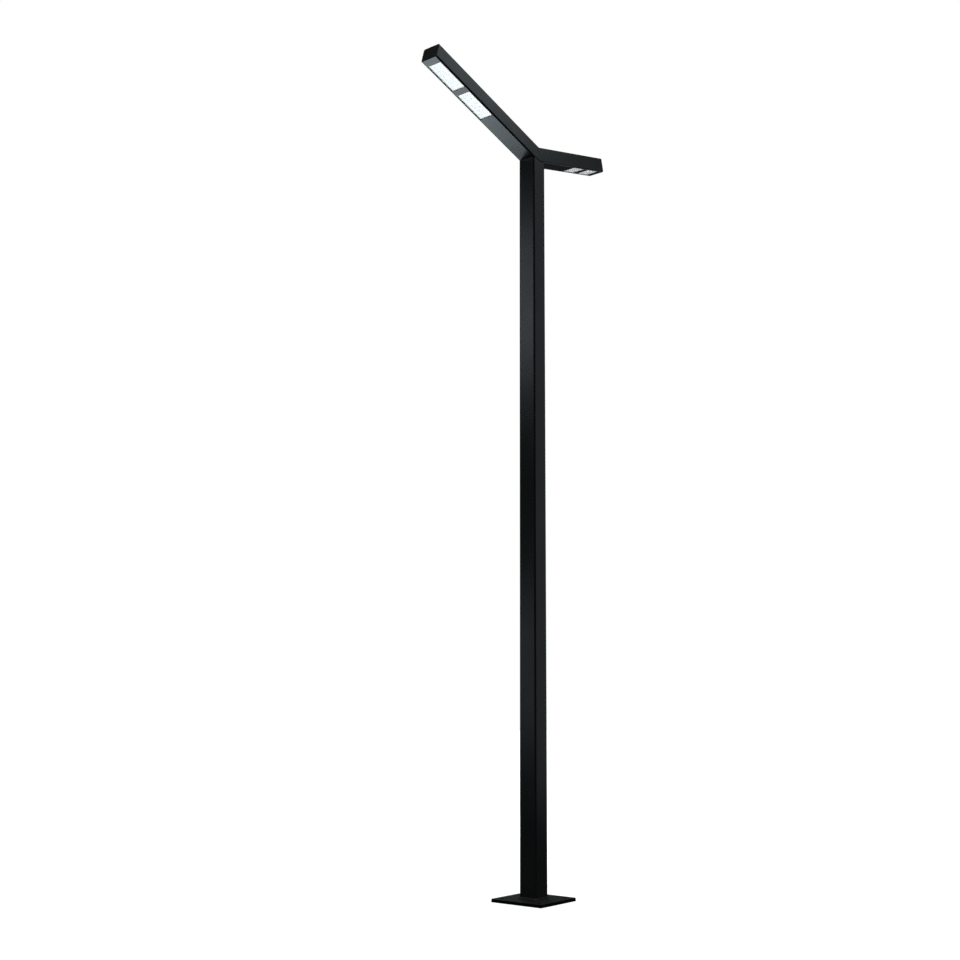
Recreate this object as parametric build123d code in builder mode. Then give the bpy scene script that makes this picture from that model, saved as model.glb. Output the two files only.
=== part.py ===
from build123d import *
from math import cos, radians, sin, tan
import os

# A square street lamp post with a long and a short arm. Sizes are in millimetres.
# The origin is the centre of the base plate's underside, and +Z is up.
# The long arm points along -X, the short arm along +X, and the access door faces +Y.

os.makedirs("parts", exist_ok=True)

# Post and foot
POST_WIDTH = 100.0            # square hollow section, across its flats
POST_WALL = 4.0
SECTION_RADIUS = 8.0          # outer corner radius of the post and of both arms
JUNCTION_HEIGHT = 3870.0      # where the centrelines of the post and the arms meet
PLATE_SIZE = 300.0
PLATE_THICKNESS = 15.0
PLATE_CORNER = 10.0
ANCHOR_SPACING = 220.0
ANCHOR_HOLE_RADIUS = 11.0
CABLE_HOLE_RADIUS = 35.0
FOOT_WELD_LEG = 8.0

# Arms
ARM_TILT = 15.0               # degrees above level
ARM_HEIGHT = 80.0             # the arms are as wide as the post
ARM_WALL = 4.0
LONG_ARM_LENGTH = 885.0       # from the junction to the outside of the end cap
SHORT_ARM_LENGTH = 655.0
ARM_CABLE_HOLE = 60.0         # square way from the post up into the arms
CAP_THICKNESS = 4.0
CAP_PLUG_DEPTH = 14.0
CAP_PLUG_WALL = 8.0
CAP_FIT = 0.3                 # gap all round between a cap's plug and the arm
CAP_SCREW_RADIUS = 2.0
CAP_SCREW_HEAD_RADIUS = 4.0
CAP_SCREW_HEAD_DEPTH = 2.0
CAP_SCREW_LENGTH = 11.0
CAP_SCREW_SPACING = 50.0

# Light windows in the underside of the arms
LONG_WINDOW = 200.0
SHORT_WINDOW = 112.0
WINDOW_WIDTH = 80.0
WINDOW_CORNER = 4.0
WINDOW_GAP = 36.0             # bar between the two windows of an arm
TIP_MARGIN = 42.0             # from the outer window to the outside of the end cap
GLASS_FIT = 0.25
GASKET_SEAT = 2.0             # how far the gasket lies over the arm's wall, at the sides
GASKET_END_SEAT = 9.0         # the same at the ends, where the screws pass
GASKET_OVERLAP = 3.0          # how far the gasket lies over the glass
GASKET_THICKNESS = 2.0
LENS_PITCH = 28.0
LENS_ROW_SPACING = 30.0
LENS_RADIUS = 11.0
LENS_HEIGHT = 2.4
LENS_PLATE_THICKNESS = 2.0
LENS_PLATE_LIFT = 3.0         # from the inside of the glass to the lens plate
LENS_PEG_RADIUS = 2.0
LENS_MARGIN = 14.0            # least distance from a window's end to the lens field
CHIP_SIZE = 5.0
CHIP_HEIGHT = 0.8
BOARD_LIFT = 6.0              # from the inside of the glass to the board
BOARD_THICKNESS = 1.6
BOARD_FIT = 0.75              # gap between the board or lens plate and the heat sink's rim
SINK_BASE = 5.0
FIN_HEIGHT = 27.0
FIN_THICKNESS = 2.0
FIN_PITCH = 8.0
SINK_SCREW_RADIUS = 1.5
SINK_SCREW_HEAD_RADIUS = 2.8
SINK_SCREW_HEAD_HEIGHT = 2.0
SINK_SCREW_BITE = 3.0         # blind depth in the arm's wall
SINK_SCREW_SPACING = 60.0     # across the arm

# LED drivers, one in each arm
DRIVER_LENGTH = 130.0
DRIVER_WIDTH = 58.0
DRIVER_HEIGHT = 32.0
DRIVER_CHAMFER = 3.0
DRIVER_LUG = 14.0             # flange at each end of a driver
DRIVER_LUG_THICKNESS = 3.0
BRACKET_THICKNESS = 2.0
BRACKET_WIDTH = 70.0
DRIVER_TO_MODULE = 24.0       # from a driver's bracket to the nearest heat sink
DRIVER_SCREW_RADIUS = 2.0
DRIVER_SCREW_HEAD_RADIUS = 3.5
DRIVER_SCREW_HEAD_HEIGHT = 2.2

# Access door
DOOR_CENTRE_HEIGHT = 700.0
DOOR_OPENING_WIDTH = 72.0
DOOR_OPENING_HEIGHT = 400.0
DOOR_CORNER = 8.0
DOOR_GAP = 1.0
FRAME_BORDER = 6.0            # how far the frame reaches into the opening
FRAME_OVERLAP = 12.0          # how far it lies behind the wall, above and below
FRAME_THICKNESS = 4.0
FRAME_REBATE = 2.0
GASKET_RELIEF = 0.3           # gap between the closed door and its gasket
DOOR_GASKET_WIDTH = 4.5

# Hinges and lock
HINGE_COUNT = 2
HINGE_SPACING = 280.0
KNUCKLE_RADIUS = 4.0
PIN_RADIUS = 1.95
PIN_CLEARANCE = 0.05
PIN_HEAD_RADIUS = 3.2
PIN_HEAD_HEIGHT = 1.5
FIXED_KNUCKLE = 12.0
MOVING_KNUCKLE = 16.0
KNUCKLE_GAP = 0.4
KNUCKLE_LIFT = 0.5            # gap between a knuckle and the face of the post
HINGE_SET_BACK = 2.0          # from the edge of the opening to the hinge axis
LEAF_THICKNESS = 2.0
LEAF_LENGTH = 20.0
LEAF_LIFT = 0.4               # gap between a door leaf and the face of the post
LOCK_INSET = 16.0             # from the edge of the opening, on the side away from the hinge
BARREL_RADIUS = 7.0
BARREL_FLANGE_RADIUS = 9.5
BARREL_FLANGE = 2.5
ROTOR_RADIUS = 4.0
ROTOR_CLEARANCE = 0.05
KEY_RADIUS = 3.4              # corners of the triangular key head
KEY_HEIGHT = 2.0
CAM_THICKNESS = 3.0
CAM_WIDTH = 9.0
CAM_REACH = 18.0
CAM_GAP = 1.0                 # between the cam and the back of the door frame

# Gear behind the door
TRAY_WIDTH = 76.0
TRAY_HEIGHT = 370.0
TRAY_DEPTH = 10.0
TRAY_THICKNESS = 2.0
TRAY_STUD_RADIUS = 3.0
TRAY_STUD_LENGTH = 20.0
TRAY_STUD_SPACING = 330.0
TRAY_HOLE_CLEARANCE = 0.3
NUT_RADIUS = 5.8
NUT_HEIGHT = 5.0
FUSE_BOX_WIDTH = 58.0
FUSE_BOX_HEIGHT = 110.0
FUSE_BOX_DEPTH = 34.0
FUSE_BOX_WALL = 2.5
FUSE_BOX_OFFSET = 70.0        # above the door's middle
FUSE_COVER_THICKNESS = 3.0
FUSE_CARRIER = (22.0, 64.0, 24.0)
GLAND_RADIUS = 9.0
GLAND_BORE_RADIUS = 5.5
GLAND_NUT_RADIUS = 12.0
GLAND_NUT_HEIGHT = 8.0
GLAND_LENGTH = 22.0
GLAND_LIFT = 18.0             # from the tray's face to the gland's middle
SURGE_SIZE = (36.0, 70.0, 30.0)
SURGE_OFFSET = -70.0
EARTH_OFFSET = -125.0
EARTH_STUD_RADIUS = 3.0
EARTH_STUD_LENGTH = 18.0

LONG_SIDE = -1
SHORT_SIDE = 1
TILT = radians(ARM_TILT)
POST_INSIDE = POST_WIDTH - 2 * POST_WALL
ARM_INSIDE_WIDTH = POST_WIDTH - 2 * ARM_WALL
ARM_INSIDE_HEIGHT = ARM_HEIGHT - 2 * ARM_WALL
FLAT_WIDTH = POST_WIDTH - 2 * SECTION_RADIUS


def save(piece, name):
    """Label a finished piece and write it to its own file."""
    piece.part.label = name
    export_step(piece.part, f"parts/{name}.step")


# ---------------------------------------------------------------- planes

def along_arm(side, distance=0.0, height=0.0):
    """Plane on an arm: its X runs out along the arm and its Z up through it.

    distance is from the junction, and height is from the arm's underside.
    """
    out = Vector(side * cos(TILT), 0, sin(TILT))
    up = Vector(-side * sin(TILT), 0, cos(TILT))
    junction = Vector(0, 0, JUNCTION_HEIGHT)
    origin = junction + out * distance + up * (height - ARM_HEIGHT / 2)
    return Plane(origin=origin, x_dir=out, z_dir=up)


def across_arm(side, distance):
    """Plane square to an arm, at its centreline: its Z points out along the arm."""
    out = Vector(side * cos(TILT), 0, sin(TILT))
    origin = Vector(0, 0, JUNCTION_HEIGHT) + out * distance
    return Plane(origin=origin, x_dir=(0, side, 0), z_dir=out)


def behind_door(depth):
    """Plane at the door's middle, that many millimetres behind the post's +Y face, facing inwards."""
    origin = (0, POST_WIDTH / 2 - depth, DOOR_CENTRE_HEIGHT)
    return Plane(origin=origin, x_dir=(1, 0, 0), z_dir=(0, -1, 0))


def off_back_wall(lift):
    """Plane level with the door's middle, that far in front of the back wall, facing the door."""
    origin = (0, lift - POST_INSIDE / 2, DOOR_CENTRE_HEIGHT)
    return Plane(origin=origin, x_dir=(-1, 0, 0), z_dir=(0, 1, 0))


# ---------------------------------------------------------------- foot and post

with BuildPart() as base_plate:
    with BuildSketch():
        RectangleRounded(PLATE_SIZE, PLATE_SIZE, PLATE_CORNER)
        Circle(CABLE_HOLE_RADIUS, mode=Mode.SUBTRACT)
        with GridLocations(ANCHOR_SPACING, ANCHOR_SPACING, 2, 2):
            Circle(ANCHOR_HOLE_RADIUS, mode=Mode.SUBTRACT)
    extrude(amount=PLATE_THICKNESS)
save(base_plate, "base_plate")

with BuildPart() as base_weld:
    with BuildSketch(Plane.XY.offset(PLATE_THICKNESS)):
        foot_width = POST_WIDTH + 2 * FOOT_WELD_LEG
        RectangleRounded(foot_width, foot_width, SECTION_RADIUS + FOOT_WELD_LEG)
    extrude(amount=FOOT_WELD_LEG, taper=45)
    with BuildSketch(Plane.XY.offset(PLATE_THICKNESS)):
        RectangleRounded(POST_WIDTH, POST_WIDTH, SECTION_RADIUS)
    extrude(amount=2 * FOOT_WELD_LEG, mode=Mode.SUBTRACT)
save(base_weld, "base_weld")

with BuildPart() as post_tube:
    with BuildSketch(Plane.XY.offset(PLATE_THICKNESS)):
        RectangleRounded(POST_WIDTH, POST_WIDTH, SECTION_RADIUS)
        RectangleRounded(POST_INSIDE, POST_INSIDE, SECTION_RADIUS - POST_WALL, mode=Mode.SUBTRACT)
    extrude(amount=JUNCTION_HEIGHT - PLATE_THICKNESS)
    # The top is cut to a shallow V that follows the undersides of the two arms.
    with BuildSketch(Plane.XZ):
        valley = JUNCTION_HEIGHT - ARM_HEIGHT / 2 / cos(TILT)
        shoulder = valley + POST_WIDTH * tan(TILT)
        with BuildLine():
            Polyline(
                (0, valley), (POST_WIDTH, shoulder), (POST_WIDTH, shoulder + POST_WIDTH),
                (-POST_WIDTH, shoulder + POST_WIDTH), (-POST_WIDTH, shoulder), close=True,
            )
        make_face()
    extrude(amount=POST_WIDTH, both=True, mode=Mode.SUBTRACT)
    with BuildSketch(behind_door(0)):
        RectangleRounded(DOOR_OPENING_WIDTH, DOOR_OPENING_HEIGHT, DOOR_CORNER)
    extrude(amount=POST_WALL, mode=Mode.SUBTRACT)
save(post_tube, "post_tube")


# ---------------------------------------------------------------- arms

def window_centres(arm_length, window):
    """Distances of an arm's outer and inner windows from the junction."""
    outer = arm_length - TIP_MARGIN - window / 2
    return {"outer": outer, "inner": outer - window - WINDOW_GAP}


def sink_screw_grid(window):
    """The four screws of a light module, in the ends of its gasket."""
    return GridLocations(window + GASKET_END_SEAT, SINK_SCREW_SPACING, 2, 2)


def cap_screw_plane(side, length):
    """Plane on the top of an arm, over the middle of the end cap's plug."""
    return along_arm(side, length - CAP_THICKNESS - CAP_PLUG_DEPTH / 2, ARM_HEIGHT)


def make_arm(side, length, window):
    """One arm: a hollow section with two windows below and two screw holes at its tip."""
    overrun = ARM_HEIGHT
    with BuildPart() as arm:
        with BuildSketch(across_arm(side, -overrun)):
            RectangleRounded(POST_WIDTH, ARM_HEIGHT, SECTION_RADIUS)
            RectangleRounded(
                ARM_INSIDE_WIDTH, ARM_INSIDE_HEIGHT, SECTION_RADIUS - ARM_WALL, mode=Mode.SUBTRACT
            )
        extrude(amount=overrun + length - CAP_THICKNESS)
        split(bisect_by=Plane.YZ, keep=Keep.TOP if side > 0 else Keep.BOTTOM)
        with BuildSketch(Plane.XY.offset(JUNCTION_HEIGHT - ARM_HEIGHT)):
            Rectangle(ARM_CABLE_HOLE, ARM_CABLE_HOLE)
        extrude(amount=ARM_HEIGHT, mode=Mode.SUBTRACT)
        for centre in window_centres(length, window).values():
            with BuildSketch(along_arm(side, centre)):
                RectangleRounded(window, WINDOW_WIDTH, WINDOW_CORNER)
            extrude(amount=ARM_WALL, mode=Mode.SUBTRACT)
            with BuildSketch(along_arm(side, centre, ARM_WALL - SINK_SCREW_BITE)):
                with sink_screw_grid(window):
                    Circle(SINK_SCREW_RADIUS)
            extrude(amount=SINK_SCREW_BITE, mode=Mode.SUBTRACT)
        with Locations(cap_screw_plane(side, length)):
            with GridLocations(0, CAP_SCREW_SPACING, 1, 2):
                CounterSinkHole(CAP_SCREW_RADIUS, CAP_SCREW_HEAD_RADIUS, ARM_WALL)
    return arm


def make_end_cap(side, length):
    """End cap: a plate flush with the arm's outline, and a hollow plug inside the arm."""
    plug_width = ARM_INSIDE_WIDTH - 2 * CAP_FIT
    plug_height = ARM_INSIDE_HEIGHT - 2 * CAP_FIT
    with BuildPart() as cap:
        with BuildSketch(across_arm(side, length - CAP_THICKNESS)):
            RectangleRounded(POST_WIDTH, ARM_HEIGHT, SECTION_RADIUS)
        extrude(amount=CAP_THICKNESS)
        with BuildSketch(across_arm(side, length - CAP_THICKNESS - CAP_PLUG_DEPTH)):
            RectangleRounded(plug_width, plug_height, SECTION_RADIUS - ARM_WALL)
            Rectangle(
                plug_width - 2 * CAP_PLUG_WALL, plug_height - 2 * CAP_PLUG_WALL, mode=Mode.SUBTRACT
            )
        extrude(amount=CAP_PLUG_DEPTH)
        with Locations(cap_screw_plane(side, length)):
            with GridLocations(0, CAP_SCREW_SPACING, 1, 2):
                Hole(CAP_SCREW_RADIUS, depth=CAP_SCREW_LENGTH)
    return cap


ARMS = {
    "long": (LONG_SIDE, LONG_ARM_LENGTH, LONG_WINDOW),
    "short": (SHORT_SIDE, SHORT_ARM_LENGTH, SHORT_WINDOW),
}

for arm_name, (side, length, window) in ARMS.items():
    save(make_arm(side, length, window), f"arm_{arm_name}")
    save(make_end_cap(side, length), f"end_cap_{arm_name}")

with BuildPart() as end_cap_screws:
    for side, length, window in ARMS.values():
        with Locations(cap_screw_plane(side, length)):
            with GridLocations(0, CAP_SCREW_SPACING, 1, 2):
                Cylinder(
                    CAP_SCREW_RADIUS, CAP_SCREW_LENGTH,
                    align=(Align.CENTER, Align.CENTER, Align.MAX),
                )
                Cone(
                    CAP_SCREW_RADIUS, CAP_SCREW_HEAD_RADIUS, CAP_SCREW_HEAD_DEPTH,
                    align=(Align.CENTER, Align.CENTER, Align.MAX),
                )
save(end_cap_screws, "end_cap_screws")


# ---------------------------------------------------------------- light modules

def lens_count(window):
    """How many lenses fit along a window."""
    return int((window - 2 * LENS_MARGIN) // LENS_PITCH)


def lens_grid(window):
    """Two rows of lenses along the middle of a window."""
    return GridLocations(LENS_PITCH, LENS_ROW_SPACING, lens_count(window), 2)


def board_size(window):
    """Length and width of the LED board and of the lens plate, inside the heat sink's rim."""
    inset = 2 * (GASKET_OVERLAP + BOARD_FIT)
    return window - inset, WINDOW_WIDTH - inset


def make_glass(side, centre, window):
    """Cover glass, flush with the underside of the arm."""
    with BuildPart() as glass:
        with BuildSketch(along_arm(side, centre)):
            RectangleRounded(window - 2 * GLASS_FIT, WINDOW_WIDTH - 2 * GLASS_FIT, WINDOW_CORNER)
        extrude(amount=ARM_WALL)
    return glass


def make_gasket(side, centre, window):
    """Gasket over the joint between the glass and the arm's wall."""
    with BuildPart() as gasket:
        with BuildSketch(along_arm(side, centre, ARM_WALL)):
            Rectangle(window + 2 * GASKET_END_SEAT, WINDOW_WIDTH + 2 * GASKET_SEAT)
            Rectangle(
                window - 2 * GASKET_OVERLAP, WINDOW_WIDTH - 2 * GASKET_OVERLAP, mode=Mode.SUBTRACT
            )
            with sink_screw_grid(window):
                Circle(SINK_SCREW_RADIUS, mode=Mode.SUBTRACT)
        extrude(amount=GASKET_THICKNESS)
    return gasket


def make_lens_plate(side, centre, window):
    """Lens plate: two rows of domed lenses towards the glass, and a peg in each corner."""
    plate_length, plate_width = board_size(window)
    with BuildPart() as lens_plate:
        with BuildSketch(along_arm(side, centre, ARM_WALL + LENS_PLATE_LIFT)):
            Rectangle(plate_length, plate_width)
        extrude(amount=LENS_PLATE_THICKNESS)
        with BuildSketch(along_arm(side, centre, ARM_WALL + LENS_PLATE_LIFT)):
            with lens_grid(window):
                Circle(LENS_RADIUS)
        extrude(amount=-LENS_HEIGHT, taper=40)
        with BuildSketch(along_arm(side, centre, ARM_WALL + LENS_PLATE_LIFT + LENS_PLATE_THICKNESS)):
            peg_inset = 4 * LENS_PEG_RADIUS
            with GridLocations(plate_length - peg_inset, plate_width - peg_inset, 2, 2):
                Circle(LENS_PEG_RADIUS)
        extrude(amount=BOARD_LIFT - LENS_PLATE_LIFT - LENS_PLATE_THICKNESS)
    return lens_plate


def make_chips(side, centre, window):
    """One LED chip over each lens, on the underside of the board."""
    with BuildPart() as chips:
        with BuildSketch(along_arm(side, centre, ARM_WALL + BOARD_LIFT - CHIP_HEIGHT)):
            with lens_grid(window):
                Rectangle(CHIP_SIZE, CHIP_SIZE)
        extrude(amount=CHIP_HEIGHT)
    return chips


def make_board(side, centre, window):
    """LED circuit board, against the heat sink."""
    board_length, board_width = board_size(window)
    with BuildPart() as board:
        with BuildSketch(along_arm(side, centre, ARM_WALL + BOARD_LIFT)):
            Rectangle(board_length, board_width)
        extrude(amount=BOARD_THICKNESS)
    return board


SINK_LIFT = ARM_WALL + BOARD_LIFT + BOARD_THICKNESS
SINK_TOP = SINK_LIFT + SINK_BASE


def make_heat_sink(side, centre, window):
    """Heat sink: a rim that presses on the gasket, a base behind the board, and fins above."""
    sink_length = window + 2 * GASKET_END_SEAT
    sink_width = WINDOW_WIDTH + 2 * GASKET_SEAT
    rim_foot = ARM_WALL + GASKET_THICKNESS
    fin_count = int((sink_width - FIN_THICKNESS) // FIN_PITCH) + 1
    with BuildPart() as sink:
        with BuildSketch(along_arm(side, centre, rim_foot)):
            Rectangle(sink_length, sink_width)
        extrude(amount=SINK_TOP - rim_foot)
        with BuildSketch(along_arm(side, centre, rim_foot)):
            Rectangle(window - 2 * GASKET_OVERLAP, WINDOW_WIDTH - 2 * GASKET_OVERLAP)
        extrude(amount=SINK_LIFT - rim_foot, mode=Mode.SUBTRACT)
        with BuildSketch(along_arm(side, centre, SINK_TOP)):
            with GridLocations(0, FIN_PITCH, 1, fin_count):
                Rectangle(window, FIN_THICKNESS)
        extrude(amount=FIN_HEIGHT)
        with BuildSketch(along_arm(side, centre, rim_foot)):
            with sink_screw_grid(window):
                Circle(SINK_SCREW_RADIUS)
        extrude(amount=SINK_TOP - rim_foot, mode=Mode.SUBTRACT)
    return sink


def make_module_screws(side, centre, window):
    """Four screws that hold a heat sink down on its gasket."""
    with BuildPart() as screws:
        with BuildSketch(along_arm(side, centre, ARM_WALL - SINK_SCREW_BITE)):
            with sink_screw_grid(window):
                Circle(SINK_SCREW_RADIUS)
        extrude(amount=SINK_TOP - ARM_WALL + SINK_SCREW_BITE)
        with BuildSketch(along_arm(side, centre, SINK_TOP)):
            with sink_screw_grid(window):
                Circle(SINK_SCREW_HEAD_RADIUS)
        extrude(amount=SINK_SCREW_HEAD_HEIGHT)
    return screws


MODULE_PIECES = {
    "cover_glass": make_glass,
    "window_gasket": make_gasket,
    "lens_plate": make_lens_plate,
    "led_chips": make_chips,
    "led_board": make_board,
    "heat_sink": make_heat_sink,
    "module_screws": make_module_screws,
}

for arm_name, (side, length, window) in ARMS.items():
    for place, centre in window_centres(length, window).items():
        for piece_name, make_piece in MODULE_PIECES.items():
            save(make_piece(side, centre, window), f"{piece_name}_{arm_name}_{place}")


# ---------------------------------------------------------------- LED drivers

DRIVER_SPAN = DRIVER_LENGTH + 2 * DRIVER_LUG
DRIVER_FOOT = ARM_WALL + BRACKET_THICKNESS


def driver_centre(length, window):
    """Distance of an arm's driver from the junction, just short of its inner light module."""
    sink_start = window_centres(length, window)["inner"] - window / 2 - GASKET_END_SEAT
    return sink_start - DRIVER_TO_MODULE - DRIVER_SPAN / 2


def driver_screw_grid():
    """One screw in the middle of each lug of a driver."""
    return GridLocations(DRIVER_LENGTH + DRIVER_LUG, 0, 2, 1)


def make_bracket(side, centre):
    """Bracket plate on the floor of an arm, with upturned edges beside the driver."""
    with BuildPart() as bracket:
        with BuildSketch(along_arm(side, centre, ARM_WALL)):
            Rectangle(DRIVER_SPAN, BRACKET_WIDTH)
            with driver_screw_grid():
                Circle(DRIVER_SCREW_RADIUS, mode=Mode.SUBTRACT)
        extrude(amount=BRACKET_THICKNESS)
        with BuildSketch(along_arm(side, centre, DRIVER_FOOT)):
            with GridLocations(0, BRACKET_WIDTH - BRACKET_THICKNESS, 1, 2):
                Rectangle(DRIVER_SPAN, BRACKET_THICKNESS)
        extrude(amount=DRIVER_HEIGHT / 3)
    return bracket


def make_driver(side, centre):
    """LED driver: a sealed case with a screw lug at each end."""
    with BuildPart() as driver:
        with BuildSketch(along_arm(side, centre, DRIVER_FOOT)):
            Rectangle(DRIVER_LENGTH, DRIVER_WIDTH)
        extrude(amount=DRIVER_HEIGHT)
        floor = along_arm(side, centre)
        top = driver.faces().sort_by(Axis(floor.origin, floor.z_dir))[-1]
        chamfer(top.edges(), length=DRIVER_CHAMFER)
        with BuildSketch(along_arm(side, centre, DRIVER_FOOT)):
            Rectangle(DRIVER_SPAN, DRIVER_WIDTH / 2)
        extrude(amount=DRIVER_LUG_THICKNESS)
        with BuildSketch(along_arm(side, centre, DRIVER_FOOT)):
            with driver_screw_grid():
                Circle(DRIVER_SCREW_RADIUS)
        extrude(amount=DRIVER_LUG_THICKNESS, mode=Mode.SUBTRACT)
    return driver


for arm_name, (side, length, window) in ARMS.items():
    save(make_bracket(side, driver_centre(length, window)), f"driver_bracket_{arm_name}")
    save(make_driver(side, driver_centre(length, window)), f"led_driver_{arm_name}")

with BuildPart() as driver_screws:
    for side, length, window in ARMS.values():
        centre = driver_centre(length, window)
        with BuildSketch(along_arm(side, centre, ARM_WALL)):
            with driver_screw_grid():
                Circle(DRIVER_SCREW_RADIUS)
        extrude(amount=BRACKET_THICKNESS + DRIVER_LUG_THICKNESS)
        with BuildSketch(along_arm(side, centre, DRIVER_FOOT + DRIVER_LUG_THICKNESS)):
            with driver_screw_grid():
                Circle(DRIVER_SCREW_HEAD_RADIUS)
        extrude(amount=DRIVER_SCREW_HEAD_HEIGHT)
save(driver_screws, "driver_screws")


# ---------------------------------------------------------------- access door

DOOR_WIDTH = DOOR_OPENING_WIDTH - 2 * DOOR_GAP
LOCK_OFFSET = LOCK_INSET - DOOR_OPENING_WIDTH / 2
DOOR_HEIGHT = DOOR_OPENING_HEIGHT - 2 * DOOR_GAP
FRAME_BACK = POST_WALL + FRAME_THICKNESS

with BuildPart() as access_door:
    with BuildSketch(behind_door(0)):
        RectangleRounded(DOOR_WIDTH, DOOR_HEIGHT, DOOR_CORNER - DOOR_GAP)
        with Locations((LOCK_OFFSET, 0)):
            Circle(BARREL_RADIUS, mode=Mode.SUBTRACT)
    extrude(amount=POST_WALL)
save(access_door, "access_door")

with BuildPart() as door_frame:
    with BuildSketch(behind_door(POST_WALL)):
        Rectangle(FLAT_WIDTH, DOOR_OPENING_HEIGHT + 2 * FRAME_OVERLAP)
        RectangleRounded(
            DOOR_OPENING_WIDTH - 2 * FRAME_BORDER, DOOR_OPENING_HEIGHT - 2 * FRAME_BORDER,
            DOOR_CORNER, mode=Mode.SUBTRACT,
        )
    extrude(amount=FRAME_THICKNESS)
    with BuildSketch(behind_door(POST_WALL)):
        RectangleRounded(DOOR_OPENING_WIDTH, DOOR_OPENING_HEIGHT, DOOR_CORNER)
    extrude(amount=FRAME_REBATE, mode=Mode.SUBTRACT)
save(door_frame, "door_frame")

with BuildPart() as door_gasket:
    with BuildSketch(behind_door(POST_WALL + GASKET_RELIEF)):
        RectangleRounded(DOOR_WIDTH, DOOR_HEIGHT, DOOR_CORNER - DOOR_GAP)
        RectangleRounded(
            DOOR_WIDTH - 2 * DOOR_GASKET_WIDTH, DOOR_HEIGHT - 2 * DOOR_GASKET_WIDTH,
            DOOR_CORNER - DOOR_GAP, mode=Mode.SUBTRACT,
        )
    extrude(amount=FRAME_REBATE - GASKET_RELIEF)
save(door_gasket, "door_gasket")


# ---------------------------------------------------------------- hinges

HINGE_X = DOOR_OPENING_WIDTH / 2 + HINGE_SET_BACK
HINGE_Y = POST_WIDTH / 2 + KNUCKLE_LIFT + KNUCKLE_RADIUS
BORE_RADIUS = PIN_RADIUS + PIN_CLEARANCE
HINGE_SPAN = 2 * FIXED_KNUCKLE + MOVING_KNUCKLE + 2 * KNUCKLE_GAP
HINGE_STARTS = [
    DOOR_CENTRE_HEIGHT - HINGE_SPAN / 2 + (number - (HINGE_COUNT - 1) / 2) * HINGE_SPACING
    for number in range(HINGE_COUNT)
]

with BuildPart() as hinge_knuckles:
    for start in HINGE_STARTS:
        for level in (start, start + HINGE_SPAN - FIXED_KNUCKLE):
            with BuildSketch(Plane.XY.offset(level)):
                with Locations((HINGE_X, HINGE_Y)):
                    Circle(KNUCKLE_RADIUS)
                with Locations((HINGE_X, POST_WIDTH / 2)):
                    Rectangle(KNUCKLE_RADIUS, HINGE_Y - POST_WIDTH / 2, align=(Align.MIN, Align.MIN))
                with Locations((HINGE_X, HINGE_Y)):
                    Circle(BORE_RADIUS, mode=Mode.SUBTRACT)
            extrude(amount=FIXED_KNUCKLE)
save(hinge_knuckles, "hinge_knuckles")

with BuildPart() as hinge_leaves:
    for start in HINGE_STARTS:
        with BuildSketch(Plane.XY.offset(start + FIXED_KNUCKLE + KNUCKLE_GAP)):
            with Locations((HINGE_X, HINGE_Y)):
                Circle(KNUCKLE_RADIUS)
            with Locations((HINGE_X, POST_WIDTH / 2 + LEAF_LIFT)):
                Rectangle(LEAF_LENGTH, LEAF_THICKNESS, align=(Align.MAX, Align.MIN))
            with Locations((HINGE_X - LEAF_LENGTH, POST_WIDTH / 2)):
                weld_length = LEAF_LENGTH - HINGE_SET_BACK - 2 * DOOR_GAP
                Rectangle(weld_length, LEAF_THICKNESS, align=(Align.MIN, Align.MIN))
            with Locations((HINGE_X, HINGE_Y)):
                Circle(BORE_RADIUS, mode=Mode.SUBTRACT)
        extrude(amount=MOVING_KNUCKLE)
save(hinge_leaves, "hinge_leaves")

with BuildPart() as hinge_pins:
    for start in HINGE_STARTS:
        with BuildSketch(Plane.XY.offset(start)):
            with Locations((HINGE_X, HINGE_Y)):
                Circle(PIN_RADIUS)
        extrude(amount=HINGE_SPAN)
        with BuildSketch(Plane.XY.offset(start + HINGE_SPAN)):
            with Locations((HINGE_X, HINGE_Y)):
                Circle(PIN_HEAD_RADIUS)
        extrude(amount=PIN_HEAD_HEIGHT)
save(hinge_pins, "hinge_pins")


# ---------------------------------------------------------------- lock

CAM_FRONT = FRAME_BACK + CAM_GAP

with BuildPart() as lock_barrel:
    with BuildSketch(behind_door(-BARREL_FLANGE)):
        with Locations((LOCK_OFFSET, 0)):
            Circle(BARREL_FLANGE_RADIUS)
    extrude(amount=BARREL_FLANGE)
    with BuildSketch(behind_door(0)):
        with Locations((LOCK_OFFSET, 0)):
            Circle(BARREL_RADIUS)
    extrude(amount=FRAME_BACK)
    with BuildSketch(behind_door(-BARREL_FLANGE)):
        with Locations((LOCK_OFFSET, 0)):
            Circle(ROTOR_RADIUS + ROTOR_CLEARANCE)
    extrude(amount=BARREL_FLANGE + FRAME_BACK, mode=Mode.SUBTRACT)
save(lock_barrel, "lock_barrel")

with BuildPart() as lock_rotor:
    with BuildSketch(behind_door(0)):
        with Locations((LOCK_OFFSET, 0)):
            Circle(ROTOR_RADIUS)
    extrude(amount=CAM_FRONT + CAM_THICKNESS)
    with BuildSketch(behind_door(-KEY_HEIGHT)):
        with Locations((LOCK_OFFSET, 0)):
            RegularPolygon(KEY_RADIUS, 3)
    extrude(amount=KEY_HEIGHT)
save(lock_rotor, "lock_rotor")

# The cam hangs straight down when unlocked, and swings behind the frame's edge to lock.
with BuildPart() as lock_cam:
    with BuildSketch(behind_door(CAM_FRONT)):
        with Locations((LOCK_OFFSET, 0)):
            Circle(CAM_WIDTH / 2 + 1)
            Rectangle(CAM_WIDTH, CAM_REACH, align=(Align.CENTER, Align.MAX))
            Circle(ROTOR_RADIUS, mode=Mode.SUBTRACT)
    extrude(amount=CAM_THICKNESS)
save(lock_cam, "lock_cam")


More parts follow.
